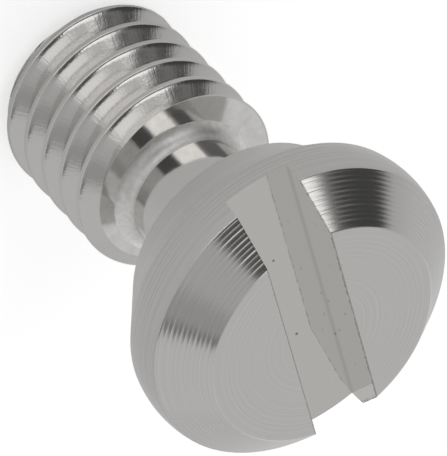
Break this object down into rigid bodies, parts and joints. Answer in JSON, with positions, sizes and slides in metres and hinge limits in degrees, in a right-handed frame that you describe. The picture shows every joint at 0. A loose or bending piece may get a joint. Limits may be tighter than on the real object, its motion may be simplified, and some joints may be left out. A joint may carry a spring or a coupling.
{
  "type": "fork bleed bolt",
  "caption": "Short slotted screw with a round tapered head, a seal groove under it and a metric thread, which closes an air bleed hole in a fork cap.",
  "frame": {"origin": "centre of the flat end face of the threaded tip, which the bolt stands on", "axes": "+Z along the bolt from the tip to the slotted face, +X along the screwdriver slot"},
  "size_m": [0.0076, 0.0076, 0.0105],
  "materials": {
    "plated_steel": "bright, fine turning marks"
  },
  "bodies": {
    "root": {"bleed_bolt": "plated_steel"}
  },
  "joints": []
}
